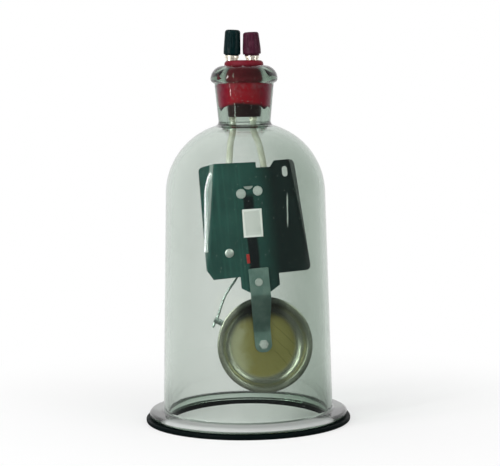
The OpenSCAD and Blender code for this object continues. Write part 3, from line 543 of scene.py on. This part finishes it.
def label_card():
    """Bare pale card in a lighter border, with a little dirt."""
    f = Finish("label_card", srgb(172, 182, 176), 0.5, specular_ior_level=0.3)
    x, _, z = f.parts(f.on_bell())
    middle_x, middle_z, half_width, half_height = -0.0006, -0.0029, 0.0052, 0.0081
    border = ((x - middle_x).size() - half_width).at_least((z - middle_z).size() - half_height)
    dirt = f.noise(140, 5.0).step(0.45, 0.8)
    card = (dirt * 0.6).blend(srgb(226, 224, 223), srgb(198, 198, 196))
    f.set("Base Color", border.step(-0.0002, 0.0003).blend(card, srgb(252, 249, 248)))
    f.set("Roughness", 0.4 + dirt * 0.2)
    f.bump(f.noise(1600, 3.0), 0.1, 0.0001)
    return f.material


glass = jar_glass()
stopper_rubber = rubber("stopper_rubber", srgb(104, 10, 28), srgb(112, 50, 60), srgb(190, 18, 40))
gasket_rubber = rubber("gasket_rubber", srgb(3, 12, 12), srgb(10, 22, 22), shine=0.05)
nickel_plate = nickel()
black_moulding = moulded("black_moulding", srgb(0, 24, 25), srgb(4, 34, 36))
red_moulding = moulded("red_moulding", srgb(58, 20, 36), srgb(84, 40, 56))
green_enamel = enamel()
zinc_plate = zinc()
hammer_zinc = zinc("hammer_zinc", (150, 168, 160), (196, 208, 202), 0.24)
rivet_zinc = zinc("rivet_zinc", (190, 198, 193), (228, 232, 229), 0.3, 0.5)
gong_plate = gong_metal()
soft_iron = iron()
lead_sleeve = sleeve()
brass_sheet = spring_brass()
copper_wire = spring_brass("copper_wire", (128, 76, 44), (196, 128, 84))
silver_tip = zinc("silver_tip", (190, 190, 184), (226, 226, 220), 0.2)
red_fibre = fibre("red_fibre", srgb(178, 30, 26), srgb(206, 66, 50))
brown_moulding = fibre("brown_moulding", srgb(84, 40, 26), srgb(116, 64, 42))
coil_tape = tape()
bare_label = label_card()

# Each piece of the model takes one of these, also where a smoother piece replaces it below
FINISHES = {
    gasket_rubber: ["sealing_gasket"],
    stopper_rubber: ["rubber_stopper"],
    nickel_plate: ["black_post_stud", "red_post_stud", "black_post_collar", "red_post_collar", "lower_washers",
                   "lower_nuts", "black_clamp_washer", "red_clamp_washer"],
    black_moulding: ["black_cap"],
    red_moulding: ["red_cap"],
    green_enamel: ["housing", "clip_rivets"],
    zinc_plate: ["lead_clips", "yoke_rivets", "spring_clamp", "contact_bracket", "hammer_arm", "gong_strip"],
    rivet_zinc: ["top_rivets", "side_rivet", "strip_rivet", "gong_screw", "gong_nut", "spring_bracket"],
    hammer_zinc: ["hammer_head"],
    gong_plate: ["gong"],
    soft_iron: ["magnet_yoke", "magnet_core", "armature"],
    brass_sheet: ["clamp_screws", "armature_spring", "armature_rivets", "contact_spring", "contact_screw",
                  "contact_lock_nut"],
    copper_wire: ["coil_feed_wire", "coil_contact_wire", "frame_wire"],
    silver_tip: ["contact_tip"],
    red_fibre: ["contact_insulator"],
    brown_moulding: ["coil_bobbin"],
    coil_tape: ["coil_winding"],
    bare_label: ["label_plate"],
    lead_sleeve: ["left_lead", "right_lead"],
    glass: ["bell_jar"],
}
for material, nodes in FINISHES.items():
    for name in nodes:
        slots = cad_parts[name].data.materials
        slots.clear()
        slots.append(material)

# Leads: stiff sleeved wires that carry the bell, along the same points as the model's own
LEAD_TOP_Z = 203.7
LEFT_ROUTE = [
    [-6.95, 2.15, 66.6], [-7.2, 2.5, 62.5], [-8, 3.2, 58], [-9.7, 4.2, 51.8], [-11.4, 4.4, 41.2],
    [-12.6, LEAD_BACK, 33.4], [-12.6, LEAD_BACK, 28], [-12.6, LEAD_BACK, 22.4],
]
RIGHT_ROUTE = [
    [6.65, 0.1, 65.4], [6.4, 0.45, 61.3], [7.2, 0.5, 56.6], [9.1, 0.9, 50.4], [10.7, 2.4, 40.8],
    [11.2, LEAD_BACK, 33.8], [11.2, LEAD_BACK, 28], [11.2, LEAD_BACK, 22.4],
]


def lead(name, node, route):
    """A sleeve along its route, up to the height where the leads end at the top."""
    path = in_bell(smooth_route(route, SPAN_STEPS))
    path = path[path[:, 2] <= LEAD_TOP_Z]
    piece = tube(name, path, LEAD_D / 2, lead_sleeve, "bell", sides=24)
    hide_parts(node)


lead("left_sleeve", "left_lead", LEFT_ROUTE)
lead("right_sleeve", "right_lead", RIGHT_ROUTE)

# Jar
NECK_FILLET = 3.0
FOOT_LIFT = 0.06


def seat_radius(z):
    """Radius of the neck's tapered seat at a height."""
    return SEAT_R + (z - SEAT_LOW) * math.tan(math.radians(TAPER))


def neck_joint(neck_r, shell_r, shoulder_x):
    """Middle of the fillet between the neck and the round shoulder, and its angle from the shoulder's middle."""
    x = neck_r + NECK_FILLET
    z = SHOULDER_Z + math.sqrt((shell_r + NECK_FILLET) ** 2 - (x - shoulder_x) ** 2)
    return x, z, math.degrees(math.atan2(z - SHOULDER_Z, x - shoulder_x))


def jar_profile():
    """The jar's closed section, radius and height, from the flange up the outside and down the inside; its foot
    stands a hair above the gasket, so that no two faces lie in one plane."""
    shoulder_x = JAR_TOP_R - SHOULDER_R
    inner_r = SHOULDER_R - JAR_WALL
    neck_r, neck_top_r, flange_r, flange_t, foot_fillet = 17.6, 20.0, 67.5, 4.5, 2.0
    foot = GASKET_T + FOOT_LIFT
    flange_top = GASKET_T + flange_t
    edge = (flange_top - foot) / 2
    outer_x, outer_z, outer_angle = neck_joint(neck_r, SHOULDER_R, shoulder_x)
    inner_x, inner_z, inner_angle = neck_joint(BORE_R, inner_r, shoulder_x)
    rim_x = seat_radius(RIM_Z) + 0.4
    rim_mid = RIM_Z - RIM_ROUND
    wall_z = np.linspace(flange_top + foot_fillet, SHOULDER_Z, 14)[1:-1, None]
    share = (wall_z - wall_z.min()) / (SHOULDER_Z - wall_z.min())
    wall = np.hstack([JAR_FOOT_R + (JAR_TOP_R - JAR_FOOT_R) * share, wall_z])
    return np.vstack([
        arc(flange_r - edge, foot + edge, edge, -90, 90, 10),
        arc(JAR_FOOT_R + foot_fillet, flange_top + foot_fillet, foot_fillet, 270, 180, 8),
        wall,
        arc(shoulder_x, SHOULDER_Z, SHOULDER_R, 0, outer_angle, 40),
        arc(outer_x, outer_z, NECK_FILLET, outer_angle + 180, 180, 8),
        np.linspace([neck_r, outer_z], [neck_top_r, rim_mid - LIP_UNDER - 0.3], 24)[1:],
        arc(rim_x + RIM_ROUND - LIP_UNDER, rim_mid, LIP_UNDER, -75, -5, 8),
        arc(rim_x, rim_mid, RIM_ROUND, 0, 88, 20),
        arc(rim_x - 0.1, RIM_Z - 0.5, 0.5, 88, 176, 4),
        [[SEAT_R, SEAT_LOW], [BORE_R, SEAT_LOW - 1.5]],
        arc(inner_x, inner_z, NECK_FILLET, 180, 180 + inner_angle, 8),
        arc(shoulder_x, SHOULDER_Z, inner_r, inner_angle, 0, 40),
        (wall - [JAR_WALL, 0])[::-1],
        [[JAR_FOOT_R - JAR_WALL, flange_top + foot_fillet], [JAR_FOOT_R - JAR_WALL + 1, foot]],
    ])


jar = lathe("jar_body", jar_profile(), glass, "jar", steps=ROUND_STEPS, closed=True, sharp=70)
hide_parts("bell_jar")

# Stopper: a band of it is pressed onto the glass, and the rest stands clear by a hair
STOPPER_EDGE = 2.4
STOPPER_CLEAR = 0.15
STOPPER_PRESS = 0.08
BAND_LOW, BAND_DIP, BAND_HIGH = 215.2, 2.6, 231.0


def stopper_profile():
    """Foot with a small round, tapered side just clear of the seat, then the free top with its rounded edge."""
    foot_round = 0.8
    foot_r = seat_radius(STOPPER_FOOT) - STOPPER_CLEAR
    top = STOPPER_TOP - STOPPER_EDGE
    side_z = np.linspace(STOPPER_FOOT + 1.2, top, 72)
    side_r = seat_radius(side_z) - STOPPER_CLEAR
    return np.vstack([
        [[AXIS_GAP, STOPPER_FOOT]],
        arc(foot_r - foot_round, STOPPER_FOOT + foot_round, foot_round, -90, 0, 5),
        np.stack([side_r, side_z], -1),
        arc(side_r[-1] - STOPPER_EDGE, top, STOPPER_EDGE, 8, 90, 10),
        [[AXIS_GAP, STOPPER_TOP]],
    ])


def pressed_band(angle, z):
    """Swells the side onto the glass between two wavy lines, the lower one dipping at the left and right."""
    wave = 0.9 * np.sin(5 * angle + 1.0) + 0.6 * np.sin(9 * angle + 2.0)
    low = BAND_LOW - BAND_DIP * np.cos(2 * angle) + wave
    high = BAND_HIGH + 0.8 * np.sin(4 * angle + 0.5) - 0.7 * wave
    band = smooth_step(low - 0.6, low + 0.6, z) * (1 - smooth_step(high - 1.2, high + 1.2, z))
    return (STOPPER_CLEAR + STOPPER_PRESS) * band


stopper = lathe("stopper_body", stopper_profile(), stopper_rubber, "stopper", steps=ROUND_STEPS, swell=pressed_band)
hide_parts("rubber_stopper")

# Gong: a spun dish with a rolled lip

def on_gong(points):
    """From the gong's own frame, its axis along z to the back, to the part's frame."""
    x, y, z = np.asarray(points).T
    return in_bell(np.stack([x, z, -y], -1) + GONG_PLACE)


def gong_profile():
    """Inside from the hole over a quarter ellipse up to the rolled bead, then back along the outside."""
    deep = GONG_DEPTH - GONG_T
    bead, rise, hole_r, cove_start = 2.0, 1.2, 1.55, 20.5
    back_round = 5.7
    cove_r = GONG_R - 2 * bead
    a = np.radians(np.linspace(90, 0, 19))
    cove = np.stack([cove_start + (cove_r - cove_start) * np.cos(a), rise + (deep - rise) * np.sin(a)], -1)
    return np.vstack([
        [[hole_r, deep], [8, deep], [18, deep]],
        cove,
        arc(0, 0, 1, 180, 360, 16)[1:] * [bead, rise] + [GONG_R - bead, rise],
        arc(GONG_R - 0.6, rise, 0.6, 15, 90, 4),
        [[GONG_R - 2.1, rise + 0.9]],
        arc(GONG_FLOOR_R - 2, GONG_DEPTH - back_round, back_round, 30, 90, 10),
        [[8, GONG_DEPTH], [hole_r, GONG_DEPTH]],
    ])


gong = lathe("gong_dish", gong_profile(), gong_plate, "bell", place=on_gong, steps=160, closed=True, sharp=60)
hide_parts("gong")

# Strip that carries the gong
STRIP_T, STRIP_TOP, STRIP_END, STRIP_HALF, STRIP_LOW_HALF = 1.2, -33.5, -91.2, 6.8, 5.8
STRIP_BEND, STRIP_NARROWING = (51, 78), (53, 76)
STRIP_TOP_ROUND, STRIP_END_ROUND, STRIP_BEVEL = 0.8, 5, 0.12


def strip_blade():
    """A flat bar whose front moves back by a smooth cubic into the dish, narrowing on the way, with round corners."""
    quarter = np.linspace(0, np.pi / 2, 14)
    z = np.concatenate([STRIP_TOP - np.linspace(0, STRIP_TOP_ROUND, 6),
                        np.linspace(STRIP_TOP - 1.2, STRIP_END + 5.4, 70),
                        STRIP_END + STRIP_END_ROUND * (1 - np.sin(quarter))])
    front = (GONG_PLACE[1] + GONG_DEPTH - GONG_T) * smooth_step(*STRIP_BEND, -z) - STRIP_T
    half = STRIP_HALF + (STRIP_LOW_HALF - STRIP_HALF) * smooth_step(*STRIP_NARROWING, -z)
    for gap, corner in ((STRIP_TOP - z, STRIP_TOP_ROUND), (z - STRIP_END, STRIP_END_ROUND)):
        share = np.clip(gap / corner, 0, 1)
        half = half - corner * (1 - np.sqrt(1 - (1 - share) ** 2))
    across = np.array([-1, -1, 1, 1, 1, 1, -1, -1])
    inset = STRIP_BEVEL * np.array([0, 1, 1, 0, 0, 1, 1, 0])
    depth = np.array([STRIP_BEVEL, 0, 0, STRIP_BEVEL,
                      STRIP_T - STRIP_BEVEL, STRIP_T, STRIP_T, STRIP_T - STRIP_BEVEL])
    x = half[:, None] * across - inset * across
    rows, cols = x.shape
    grid = np.stack([x, front[:, None] + depth, np.repeat(z[:, None], cols, axis=1)], -1)
    faces = list(grid_quads(rows, cols)) + end_faces(rows, cols)
    piece = add_piece("strip_blade", in_bell(grid.reshape(-1, 3)), faces, zinc_plate, "bell", sharp=30)
    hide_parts("gong_strip")


strip_blade()

# Hammer wire, a little thicker below
WIRE_Y, WIRE_R, WIRE_SWELL = 6.0, 0.7, 0.15
HAMMER_ROUTE = [
    [1.2, 11, -7.3], [1.2, 11, -10], [1.2, 11, -12.5], [-1.5, 10, -19], [-7.5, 8, -28.5],
    [-15, WIRE_Y + 0.2, -39.8], [-19.2, WIRE_Y, -44.6], [-23.6, WIRE_Y, -50.6], [-26.8, WIRE_Y, -57],
    [-29.1, WIRE_Y, -62.4], [-31.06, WIRE_Y, -65.8], [-33.8, WIRE_Y, -70.4],
]
wire_path = smooth_route(HAMMER_ROUTE, SPAN_STEPS)
wire_r = WIRE_R + WIRE_SWELL * smooth_step(32, 44, -wire_path[:, 2])
wire = tube("hammer_wire", in_bell(wire_path), wire_r, hammer_zinc, "hammer", sides=14)
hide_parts("hammer_arm")

# Stage: a pale floor that fades to the white background, soft light, and the camera
PHOTO_W = 500
MIDDLE = (0, 0, 0.13)
FRONT_FADE = (-0.1, 0.7)
DIM_ROOM = 0.14
FLOOR_R, FLOOR_SIDES = 6, 96
scene = bpy.context.scene
scene.view_settings.view_transform = "Standard"


def direction_dot(heading, aim):
    """Cosine of the angle between a heading and a fixed aim."""
    unit = np.asarray(aim, float) / np.linalg.norm(aim)
    return heading.node("ShaderNodeVectorMath", {"operation": "DOT_PRODUCT"}, {0: heading, 1: unit.tolist()}, out=1)


def round_panel(heading, aim, inner, outer):
    """A soft-edged round panel in the direction aim, 1 inside the angle inner and 0 outside outer."""
    return direction_dot(heading, aim).step(math.cos(math.radians(outer)), math.cos(math.radians(inner)))


def pale_floor():
    """A wide disc that takes the shadow near the object, with painted shade inside the jar's foot, and is plain white
    further out; dim in mirrors in front.
    """
    angle = np.linspace(0, 2 * np.pi, FLOOR_SIDES, endpoint=False)
    edge = np.stack([FLOOR_R * np.cos(angle), FLOOR_R * np.sin(angle), 0 * angle], -1)
    mesh = bpy.data.meshes.new("floor")
    mesh.from_pydata(edge.tolist(), [], [range(FLOOR_SIDES)])
    floor = bpy.data.objects.new("floor", mesh)
    scene.collection.objects.link(floor)
    f = Finish("floor_card", (0.9, 0.9, 0.9, 1), 0.9, specular_ior_level=0.0)
    reach = f.away_from((0, 0, 0), (0, 0, 1))
    # Painted shade: the floor inside the jar's foot glows less than further out.
    white = 0.25 + reach.step(0.05, 0.058) * 0.3 + reach.step(0.06, 0.32) * 0.45
    shown = f.mixed(white, f.shader.outputs[0], f.other("ShaderNodeEmission"))
    outward = f.vector("NORMALIZE", f.vector("SUBTRACT", f.place, MIDDLE))
    in_front = 1 - direction_dot(outward, (0, 1, 0)).step(*FRONT_FADE)
    mirrored = f.ray("Glossy Depth").step(0.4, 0.6) * in_front
    f.show(f.mixed(mirrored, shown, f.other("ShaderNodeEmission", Strength=DIM_ROOM)))
    mesh.materials.append(f.material)


def white_world(ambient):
    """White where it is seen, also through glass and in metal, where the room in front of the object is dimmer;
    a softer level for the light it casts. Metal inside the glass mirrors two side panels and a pale band in front."""
    world = bpy.data.worlds.new("studio")
    scene.world = world
    world.use_nodes = True
    tree = world.node_tree
    rays = tree.nodes.new("ShaderNodeLightPath").outputs
    heading = Shade(tree, tree.nodes.new("ShaderNodeTexCoord").outputs["Generated"])
    mirrored = Shade(tree, rays["Glossy Depth"]).step(0.4, 0.6)
    in_front = 1 - direction_dot(heading, (0, 1, 0)).step(*FRONT_FADE)
    room = 1 - mirrored * in_front * (1 - DIM_ROOM)
    seen = Shade(tree, rays["Is Camera Ray"])
    for kind in ("Is Glossy Ray", "Is Transmission Ray"):
        seen = seen.at_least(Shade(tree, rays[kind]))
    first = 1 - Shade(tree, rays["Diffuse Depth"]).step(0.4, 0.6)
    within = mirrored * Shade(tree, rays["Transmission Depth"]).step(2.4, 2.6)
    panels = round_panel(heading, (-0.68, -0.1, 0.7), 14, 30) * 6
    panels = panels + round_panel(heading, (0.72, -0.1, 0.6), 10, 24) * 4
    band = round_panel(heading, (0.26, -0.96, 0.05), 12, 26) * 0.7
    strength = ambient + first * (seen * (room - ambient) + within * (panels + band))
    tree.links.new(strength.socket, tree.nodes["Background"].inputs["Strength"])
    tree.nodes["Background"].inputs["Color"].default_value = (1, 1, 1, 1)


def look_along(direction):
    """Euler turn of a camera or lamp that looks along a direction, upright."""
    x, y, z = direction / np.linalg.norm(direction)
    return (math.pi / 2 + math.asin(z), 0.0, math.atan2(-x, y))


def soft_lamp(name, place, aim, width, height, power):
    """An area lamp at a place, in metres, aimed at a point."""
    data = bpy.data.lights.new(name, "AREA")
    data.shape, data.size, data.size_y, data.energy = "RECTANGLE", width, height, power
    lamp = bpy.data.objects.new(name, data)
    scene.collection.objects.link(lamp)
    lamp.location = place
    lamp.rotation_euler = look_along(np.asarray(aim, float) - np.asarray(place, float))
    lamp.visible_camera = False
    return lamp


def keep_off(lamps, piece):
    """The lamps light all but one piece, so that the glass shows the studio and not the lamps."""
    group = bpy.data.collections.new("lamps_pass_by")
    group.objects.link(piece)
    group.collection_objects[0].light_linking.link_state = "EXCLUDE"
    for lamp in lamps:
        lamp.light_linking.receiver_collection = group


def photo_camera():
    """The photograph's view: distance, height, pitch and roll, in degrees, worked out from the jar's rims."""
    away, height, aside, focal_px = 1.068, 0.218, 0.0027, 1578.0
    pitch, roll = -4.82, -0.73
    data = bpy.data.cameras.new("photo_view")
    data.sensor_width = 36.0
    data.lens = focal_px / PHOTO_W * data.sensor_width
    camera = bpy.data.objects.new("photo_view", data)
    scene.collection.objects.link(camera)
    camera.location = (aside, -away, height)
    turned = turn_matrix((90 + pitch, 0, 0)) @ turn_matrix((0, 0, roll))
    camera.rotation_mode = "QUATERNION"
    camera.rotation_quaternion = Matrix(turned.tolist()).to_quaternion()
    scene.camera = camera


pale_floor()
white_world(0.5)
lamps = [
    soft_lamp("left_strip", (-0.9, -1.0, 0.3), MIDDLE, 0.06, 1.0, 7),
    soft_lamp("right_strip", (1.15, -0.65, 0.3), MIDDLE, 0.05, 0.9, 3.5),
    soft_lamp("left_box", (-0.9, -0.6, 1.0), MIDDLE, 0.5, 0.5, 7),
    soft_lamp("right_box", (0.8, -0.7, 0.9), MIDDLE, 0.4, 0.4, 3.5),
]
keep_off(lamps, jar)

# The jar mirrors this one as a white streak
soft_lamp("window", (-0.72, -0.46, 0.367), (0, 0, 0.27), 0.044, 0.58, 1.6)
photo_camera()
